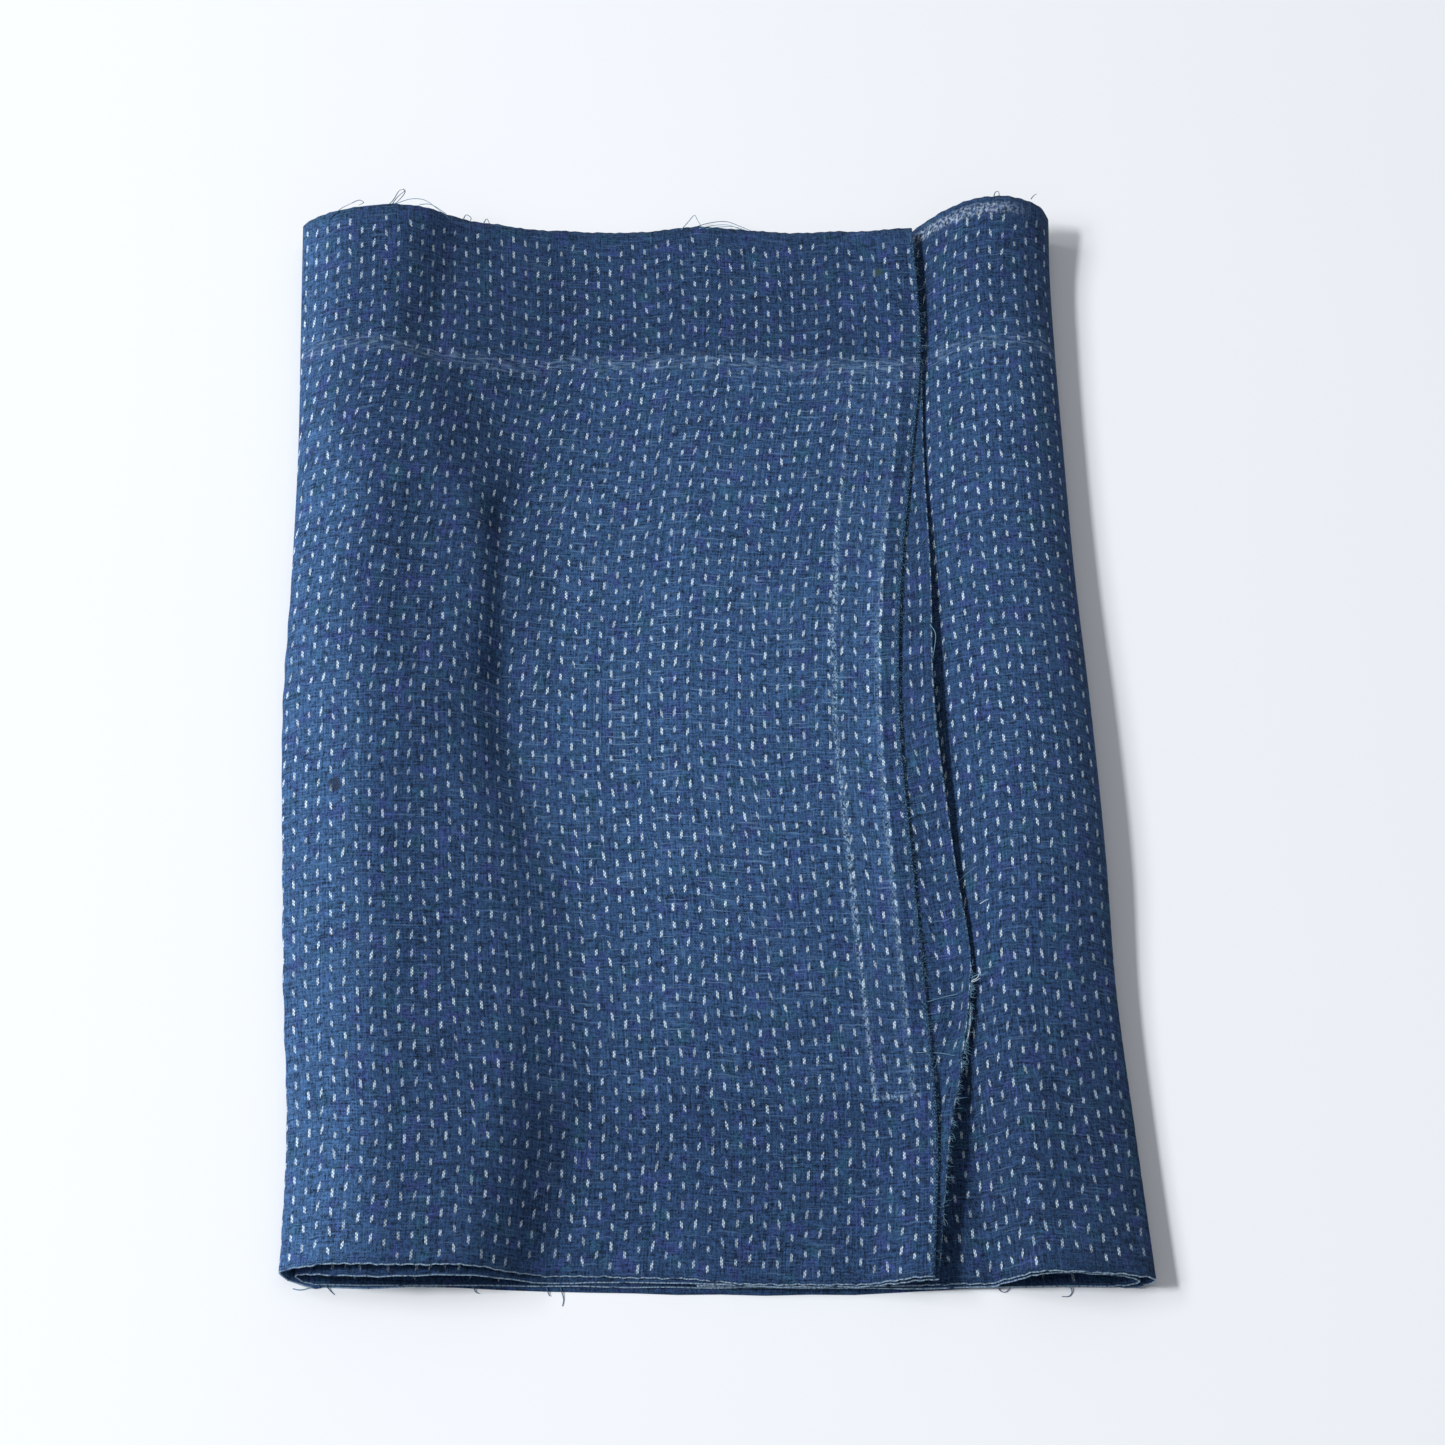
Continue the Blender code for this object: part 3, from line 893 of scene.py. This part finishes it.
# Kasuri dashes: columns across the warp, dashes along each, each of two neighbouring weft yarns.
# Single ones are shorter or longer, fainter or clearer, by a share between the two given.
COLUMN_PITCH = 3.6
DASH_PITCH = 5.33
DASH_LENGTH = 1.85
LENGTH_SHARES = (0.75, 1.25)
CLEAR_SHARES = (0.55, 1.1)
END_SOFT = 0.35
YARN_HALF = 0.105
YARN_SOFT = 0.09
FRONT_PLAIN = 2.4
BACK_PLAIN = 4.5

# How the dashes stray: how far columns and dashes drift, in mm; how far the columns are out of
# step, in dash pitches, slowly, by chance and in the odd ones; how columns and dashes lean.
COLUMN_DRIFT = 1.2
DASH_DRIFT = 1.8
SLOW_SHIFT = 1.6
CHANCE_SHIFT = 0.34
ODD_SHIFT = 0.42
ODD_FROM = 0.7
COLUMN_LEAN = 1.1
DASH_LEAN = 0.5
DASH_SKEW = 0.2

# The paler middle of the left panel, once the shown side of a garment, and the lighter left fold,
# partly worn and partly painted sheen on its flank that faces the light, which starts further along
# in the middle and at the back. Pairs are soft edges, each from where a finish hasn't begun to
# where it is full.
FADE_FRONT = 51.0
FADE_BACK = 282.0
FADE_START = (4.6, 5.6)
FADE_END = (138, 88)
FRONT_WEAR_AND_SHEEN = 147.5
MIDDLE_WEAR_AND_SHEEN = 157.0
BACK_WEAR_AND_SHEEN = 171.0
FOLD_START = (-6, 15)
FOLD_END = (230, 200)

# The right panel, as shown: where its paler middle and its darker front, partly deeper dye and
# partly painted shade, start and both end.
RIGHT_MIDDLE_START = (380, 410)
RIGHT_FRONT_START = (395, 405)
RIGHT_END = (475, 455)
# how much the painted shade, with the deeper dye, darkens the right panel's front
RIGHT_FRONT_DYE_AND_SHADE = 0.15

# The old seams: half the width of a worn line and its soft edge, how far it wanders, how strongly
# each line shows, how far the back one bows at the left hump, and the stitches left beside it.
SEAM_HALF = 0.3
SEAM_SOFT = 0.9
SEAM_WANDER = 1.6
INNER_LINE = 0.55
STRANDS = 0.2
FRONT_LINE = 0.7
BACK_LINE = 0.38
BACK_BOW = 3.2
STITCHES = 0.5
STITCH_PITCH = 1.1

# Edges: the middle of the rubbed band at the back, and how far in the cut ends are frayed.
RUBBED_BAND = 324.2
UPPER_FRAYED = 2.2
SECOND_FRAYED = 0.8

# The two indigos, and the tones laid over them, each with how strongly it shows at most.
Tone = namedtuple("Tone", "colour strength")
DEEP_INDIGO = (0.0178, 0.0448, 0.111, 1)
FADED_INDIGO = (0.0300, 0.0748, 0.173, 1)
RIGHT_FADED = Tone(FADED_INDIGO, 0.4)
# The lighter tone round the left fold: partly wear, partly painted sheen where its flank faces the light.
FOLD_WEAR_AND_SHEEN_INDIGO = Tone((0.0400, 0.0970, 0.218, 1), 0.95)
VIOLET_INDIGO = Tone((0.030, 0.044, 0.165, 1), 0.55)
GREEN_INDIGO = Tone((0.019, 0.072, 0.122, 1), 0.5)
PALE_THREAD = Tone((0.125, 0.230, 0.400, 1), 1.0)
UNDYED = Tone((0.72, 0.88, 1.0, 1), 1.0)
WORN_EDGE = Tone((0.27, 0.41, 0.57, 1), 0.8)
FRAYED_EDGE = Tone((0.15, 0.34, 0.52, 1), 0.65)
SELVEDGE_THREAD = Tone((0.34, 0.48, 0.62, 1), 1.0)
RUBBED_EDGE = Tone((0.33, 0.41, 0.52, 1), 0.9)
BLOT = Tone((0.022, 0.032, 0.050, 1), 0.7)
MOSS = Tone((0.030, 0.062, 0.045, 1), 0.7)

# Loose yarns: the colour of each tone, the darker share of it that they are mottled with, and how
# many patches there are in a metre. The floor has two tones and patches of its own.
YARN_COLOURS = {
    "indigo": (0.075, 0.165, 0.27, 1),
    "pale": (0.19, 0.38, 0.55, 1),
    "white": (0.62, 0.72, 0.86, 1),
}
YARN_SHADE = 0.45
YARN_PATCHES = 700
FLOOR_TONES = ((0.80, 0.83, 0.87, 1), (0.82, 0.845, 0.88, 1))
FLOOR_PATCHES = 3
FLOOR_REACH = 6.0

# Round stains in the cloth: where along the warp and across it, and how wide; how ragged they are.
Stain = namedtuple("Stain", "tone u v reach")
STAIN_RAGGED = 1.6
STAINS = [
    Stain(BLOT, 159.0, 138.0, 2.0),
    Stain(MOSS, 11.5, 313.0, 1.3),
    Stain(MOSS, 462.0, 313.0, 1.0),
]


def dash_mask(finish, u, v):
    """where the undyed dashes show"""
    columns = (u + finish.drift(u / 45, v / 60, COLUMN_DRIFT, detail=1.0)) / COLUMN_PITCH
    column = columns.floor()
    apart = (columns.part() - 0.5) * COLUMN_PITCH

    shift, slant, odd = finish.chance(column)
    slow = finish.noise(column * 0.13, 0.0, 1.0)
    out_of_step = slow * SLOW_SHIFT + shift * CHANCE_SHIFT + (odd > ODD_FROM) * ODD_SHIFT
    dashes = (v + finish.drift(u / 22, v / 70, DASH_DRIFT)) / DASH_PITCH + out_of_step
    dash = dashes.floor()
    along = (dashes.part() - 0.5) * DASH_PITCH

    longer, clearer, askew = finish.chance(column + 0.5, dash + 0.5)
    half = longer.between(*LENGTH_SHARES) * (DASH_LENGTH / 2)
    lean = (slant - 0.5) * COLUMN_LEAN + (askew - 0.5) * DASH_LEAN
    crossings = (v * (math.pi / WARP_PITCH)).wave()
    yarns = []
    for side in (-0.5, 0.5):
        across = apart - along * (askew - 0.5) * DASH_SKEW
        yarn = across.near(side * WEFT_PITCH, YARN_HALF, YARN_SOFT)
        run = (abs(along - lean * side) - half).step(END_SOFT, -END_SOFT)
        on_top = (crossings * side * 2.0).step(-0.9, 0.5).between(0.35, 1.0)
        yarns.append(yarn * run * on_top)
    centre = v - along
    inside = (centre > FRONT_PLAIN) * (1 - (centre > CLOTH_WIDTH - BACK_PLAIN))
    return yarns[0].highest(yarns[1]) * clearer.between(*CLEAR_SHARES) * inside


def weave_light(finish, u, v):
    """lighter and darker yarns of both directions, about 0 on average"""
    warp = finish.noise(u / 14, v / 0.5, 2.0, 0.6) + finish.noise(u / 2.2, v / 0.45, 1.0)
    weft = finish.noise(u / 0.5, v / 14, 2.0, 0.6) + finish.noise(u / 0.45, v / 2.4, 1.0)
    crossing = finish.chance((u / WEFT_PITCH).floor(), (v / WARP_PITCH).floor())[0]
    return (warp - 1) * WARP_STREAKS + (weft - 1) * WEFT_STREAKS + (crossing - 0.5) * CROSSING_SPECKS


def pale_slubs(finish, u, v):
    """the palest stretches of single yarns"""
    warp = finish.noise(u / 12 + 40, v / 0.55, 1.0).step(0.64, 0.80)
    weft = finish.noise(u / 0.55, v / 8 + 40, 1.0).step(0.66, 0.82)
    return warp.highest(weft * 0.8)


def allowance_lines(finish, u, v):
    """the two worn lines of the allowance beside the upper end, and loose strands between them"""
    wander = finish.drift(v / 18, 3.0, SEAM_WANDER)
    seamed = v.step(FADE_FRONT - 0.6, FADE_FRONT + 0.6) * v.step(FADE_BACK + 1, FADE_BACK - 3)
    strength = v.step(FADE_BACK - 35, FADE_BACK - 75).between(0.4, 1.25)
    strength = strength * v.step(60, 135).between(0.65, 1.0)
    slanted = u - (v - FADE_FRONT) * OUTER_SLANT
    outer = (slanted + wander).near(OUTER_ALLOWANCE, SEAM_HALF, SEAM_SOFT) * strength
    inner = (u + wander * 0.6).near(ALLOWANCE, SEAM_HALF, SEAM_SOFT) * strength * INNER_LINE
    strands = finish.noise(u / 0.4, v / 30, 1.0).step(0.5, 0.75)
    strands = strands * u.near(centre=11, reach=5.5, soft=1) * STRANDS
    return outer.highest(inner).highest(strands) * seamed


def worn_lines(finish, u, v):
    """the pale lines of the old seams: beside the upper end, at its front and along the back"""
    speck = finish.chance((u / WEFT_PITCH).floor(), (v / WARP_PITCH).floor() + 0.5)[1]
    speck = speck.step(0.25, 1.0) * finish.noise(u, v / 1.6, 3.0).step(0.3, 0.65).between(0.25, 1.15)
    front = v.near(FADE_FRONT, reach=0.3, soft=0.8) * u.near(centre=10.5, reach=6, soft=1) * FRONT_LINE
    lines = allowance_lines(finish, u, v).highest(front) * speck

    streaks = finish.noise(u / 4, v / 0.8, 3.0).step(0.42, 0.75)
    bowed = v + u.near(centre=134, reach=10, soft=28) * BACK_BOW
    back = bowed.near(FADE_BACK - 1.5, reach=1, soft=3.2) * streaks * BACK_LINE
    stitches = v.near(FADE_BACK - 7.5, reach=0.1, soft=0.25) * u.near(centre=24, reach=14, soft=3)
    stitches = stitches * (u / STITCH_PITCH).part().step(0.5, 0.6)
    return lines.highest(back).highest(stitches * STITCHES)


def faded_mask(u, v):
    """the paler middle of the left panel, less so towards its front and its back"""
    faded = v.step(FADE_FRONT - 2, FADE_FRONT + 2) * v.step(FADE_BACK + 1, FADE_BACK - 1)
    faded = faded * u.step(*FADE_END) * u.step(*FADE_START)
    return faded * v.step(45, 145).between(0.3, 1.0) * v.step(265, 190).between(0.58, 1.0)


def fold_wear_and_sheen_mask(u, v):
    """the lighter cloth round the left fold: partly worn, partly painted sheen on its lit flank"""
    start = v.step(145, 215).between(FRONT_WEAR_AND_SHEEN, MIDDLE_WEAR_AND_SHEEN)
    start = start + v.step(220, 280) * (BACK_WEAR_AND_SHEEN - MIDDLE_WEAR_AND_SHEEN)
    return (u - start).step(*FOLD_START) * u.step(*FOLD_END)


def right_middle_mask(u, v):
    """the paler middle of the right panel"""
    return v.step(60, 150) * v.step(305, 275) * u.step(*RIGHT_MIDDLE_START) * u.step(*RIGHT_END)


def right_front_dye_and_shade_mask(u, v):
    """the darker front of the right panel: partly deeper dye, partly painted shade"""
    return v.step(85, 35) * u.step(*RIGHT_FRONT_START) * u.step(*RIGHT_END)


def dyed_ground(finish, u, v, faded, fold_wear_and_sheen, right_middle):
    """the indigo: deep, paler where it has faded, paler round the left fold from wear and painted sheen, and
    a little uneven in hue
    """
    patches = finish.noise(u / 45, v / 45, 3.0)
    colour = finish.mix(faded * patches.between(0.72, 1.32), DEEP_INDIGO, FADED_INDIGO)
    # painted sheen, with some wear, on the lit flank of the left fold
    colour = finish.tint(colour, fold_wear_and_sheen, FOLD_WEAR_AND_SHEEN_INDIGO)
    colour = finish.tint(colour, right_middle, RIGHT_FADED)
    violet = finish.noise(u / 6, v / 6 + 90, 3.0).step(0.52, 0.72)
    colour = finish.tint(colour, violet, VIOLET_INDIGO)
    green = finish.noise(u / 7 + 30, v / 7, 3.0).step(0.55, 0.75)
    return finish.tint(colour, green, GREEN_INDIGO)


def with_worn_edges(finish, u, v, colour, length):
    """the colour with the front selvedge's pale yarns, the rubbed back, old seams and frayed ends"""
    twist = finish.noise(u / 0.7, v, 3.0).step(0.3, 0.62).between(0.25, 1.0)
    selvedge = v.step(0.35, 0.05) * finish.noise(u / 5, v, 2.0).step(0.3, 0.42) * twist
    selvedge = selvedge * (1 - u.near(centre=310, reach=85, soft=10))
    colour = finish.tint(colour, selvedge, SELVEDGE_THREAD)
    rubbed = finish.noise(u / 0.9, v / 0.9, 3.0).step(0.36, 0.76) * v.near(RUBBED_BAND, 1.1, 1.3)
    rubbed = rubbed * u.near(centre=452, reach=22, soft=14)
    colour = finish.tint(colour, rubbed, RUBBED_EDGE)
    colour = finish.tint(colour, worn_lines(finish, u, v), WORN_EDGE)
    cut = u.step(UPPER_FRAYED, 0.2).highest(u.step(length - SECOND_FRAYED, length - 0.2))
    frayed = finish.noise(u / 0.5, v / 0.5, 3.0).step(0.48, 0.7)
    return finish.tint(colour, cut * frayed, FRAYED_EDGE)


def with_stains(finish, u, v, colour):
    """the colour with its few stains"""
    for stain in STAINS:
        away = ((u - stain.u) ** 2.0 + (v - stain.v) ** 2.0) ** 0.5
        ragged = away + finish.noise(u / 1.2, v / 1.2, 2.0) * STAIN_RAGGED
        inside = ragged.step(stain.reach + 1.4, stain.reach + 0.2)
        colour = finish.tint(colour, inside, stain.tone)
    return colour


def hemp_finish(length):
    """the cloth's looks; `length` is where the second cut end comes"""
    finish = Finish("indigo_kasuri_hemp")
    u, v = finish.split(finish.add("ShaderNodeUVMap", {"uv_map": "cloth"}))
    faded, fold_wear_and_sheen, right_middle = faded_mask(u, v), fold_wear_and_sheen_mask(u, v), right_middle_mask(u, v)
    colour = dyed_ground(finish, u, v, faded, fold_wear_and_sheen, right_middle)

    light = weave_light(finish, u, v)
    # painted shade, with some deeper dye, over the right panel's front
    front_dye_and_painted_shade = 1 - right_front_dye_and_shade_mask(u, v) * RIGHT_FRONT_DYE_AND_SHADE
    shade = (light * LIGHT_STRENGTH + 1.0).highest(DARKEST) * front_dye_and_painted_shade
    colour = finish.mix(1.0, colour, finish.point(shade, shade, shade), "MULTIPLY")
    colour = finish.tint(colour, pale_slubs(finish, u, v) * faded.between(0.26, 0.68), PALE_THREAD)
    colour = with_worn_edges(finish, u, v, colour, length)

    # dashes show clearer where faded, and round the left fold where wear and painted sheen lighten it
    clearest = faded.highest(fold_wear_and_sheen).highest(right_middle * 0.6)
    dashes = dash_mask(finish, u, v) * clearest.between(0.67, 0.95)
    colour = with_stains(finish, u, v, finish.tint(colour, dashes, UNDYED))

    over = (u * (math.pi / WEFT_PITCH)).wave() * (v * (math.pi / WARP_PITCH)).wave()
    return finish.surface(
        {
            "Base Color": colour,
            "Roughness": 0.95,
            "Specular IOR Level": 0.15,
            "Sheen Weight": 0.05,
            "Sheen Roughness": 0.5,
            "Sheen Tint": (0.5, 0.7, 1.0, 1),
            "Normal": finish.bump(over + light * STREAK_RELIEF, WEAVE_DEPTH * MM),
        }
    )


def floor_finish():
    finish = Finish("pale_floor")
    x, y = finish.split(finish.add("ShaderNodeTexCoord", {}, {}, "Object"))
    patches = finish.noise(x * FLOOR_PATCHES, y * FLOOR_PATCHES)
    colour = finish.mix(patches, *FLOOR_TONES)
    return finish.surface({"Base Color": colour, "Roughness": 0.8, "Specular IOR Level": 0.2})


def yarn_finish(tone, colour):
    finish = Finish(tone + "_loose_yarn")
    x, y = finish.split(finish.add("ShaderNodeTexCoord", {}, {}, "Object"))
    patches = finish.noise(x * YARN_PATCHES, y * YARN_PATCHES)
    darker = tuple(YARN_SHADE * part for part in colour[:3]) + (1,)
    mottled = finish.mix(patches, darker, colour)
    return finish.surface({"Base Color": mottled, "Roughness": 0.9, "Specular IOR Level": 0.2})


def add_loose_yarns():
    """the frayed ends and the loose threads, as pieces of their own"""
    finishes = {tone: yarn_finish(tone, colour) for tone, colour in YARN_COLOURS.items()}
    groups = []
    for seed, fringe in enumerate(FRINGES, start=1):
        groups.append((fringe.name, fringe.tone, fringe.radius, fringe_lines(fringe, seed)))
    for tone, radius in THREAD_RADIUS.items():
        lines = [thread_line(thread) for thread in THREADS if thread.tone == tone]
        groups.append((tone + "_threads", tone, radius, lines))
    pieces = []
    for name, tone, radius, lines in groups:
        piece = add_piece(name, yarn_mesh(name, lines, radius), finishes[tone])
        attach(piece, "root")
        pieces.append(piece)
    return pieces


def add_cloth():
    places, lengths, starts = cloth_places()
    warp = yarn_lengths(lengths, starts)
    weft = np.linspace(0, CLOTH_WIDTH, CROSS_STEPS + 1)[None, :] + 0 * warp
    mesh = grid_mesh("kasuri_cloth", places, np.stack([warp, weft], axis=-1))
    cloth = add_piece("kasuri_cloth", mesh, hemp_finish(float(warp[-1].mean())))
    thickness = cloth.modifiers.new("sheet_thickness", "SOLIDIFY")
    thickness.thickness = SHEET * MM
    thickness.offset = 0.0
    thickness.use_even_offset = True
    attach(cloth, "root")
    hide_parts("folded_hemp_cloth")
    return cloth


def add_floor():
    mesh = bpy.data.meshes.new("studio_floor")
    corners = [(x * FLOOR_REACH, y * FLOOR_REACH, 0) for x, y in ((-1, -1), (1, -1), (1, 1), (-1, 1))]
    mesh.from_pydata(corners, [], [(0, 1, 2, 3)])
    floor = add_piece("studio_floor", mesh, floor_finish())
    return floor


# Camera and light. The camera stands in front of the cloth, looking down at it at a slant.
CAMERA_PLACE = (0.008, -0.4658, 0.8771)
CAMERA_AIM = (0.008, 0.0006, 0.0)
CAMERA_LENS = 88.44
SENSOR = 36.0

# Studio lights: the compass side each stands on (0 is the cloth's right), how high it stands in
# degrees, its distance, width and height in metres, and its power in watts.
Lamp = namedtuple("Lamp", "name side rise distance width height power")
LAMPS = [
    Lamp("key", 184, 48, 4.0, 0.7, 0.35, 100.0),
    Lamp("window", 178, 41, 3.2, 2.0, 0.6, 48.5),
    Lamp("fill", 60, 82, 3.0, 2.0, 2.0, 12.0),
]
AMBIENT = (0.230, 0.235, 0.245, 1)


def aim(thing, place, target):
    thing.location = place
    away = Vector(target) - Vector(place)
    thing.rotation_euler = away.to_track_quat("-Z", "Y").to_euler()


def add_camera():
    lens = bpy.data.cameras.new("camera")
    lens.lens = CAMERA_LENS
    lens.sensor_width = SENSOR
    lens.sensor_fit = "HORIZONTAL"
    camera = bpy.data.objects.new("camera", lens)
    bpy.context.scene.collection.objects.link(camera)
    aim(camera, CAMERA_PLACE, CAMERA_AIM)
    bpy.context.scene.camera = camera


def add_lights():
    for row in LAMPS:
        light = bpy.data.lights.new(row.name, "AREA")
        light.shape = "RECTANGLE"
        light.size, light.size_y = row.width, row.height
        light.energy = row.power
        lamp = bpy.data.objects.new(row.name, light)
        bpy.context.scene.collection.objects.link(lamp)
        side, rise = math.radians(row.side), math.radians(row.rise)
        level_reach = row.distance * math.cos(rise)
        place = (level_reach * math.cos(side), level_reach * math.sin(side), row.distance * math.sin(rise))
        aim(lamp, place, (0, 0, 0))

    world = bpy.data.worlds.new("studio")
    world.use_nodes = True
    world.node_tree.nodes["Background"].inputs["Color"].default_value = AMBIENT
    bpy.context.scene.world = world
    bpy.context.scene.view_settings.view_transform = "Standard"


floor = add_floor()
cloth = add_cloth()
add_loose_yarns()
add_camera()
add_lights()
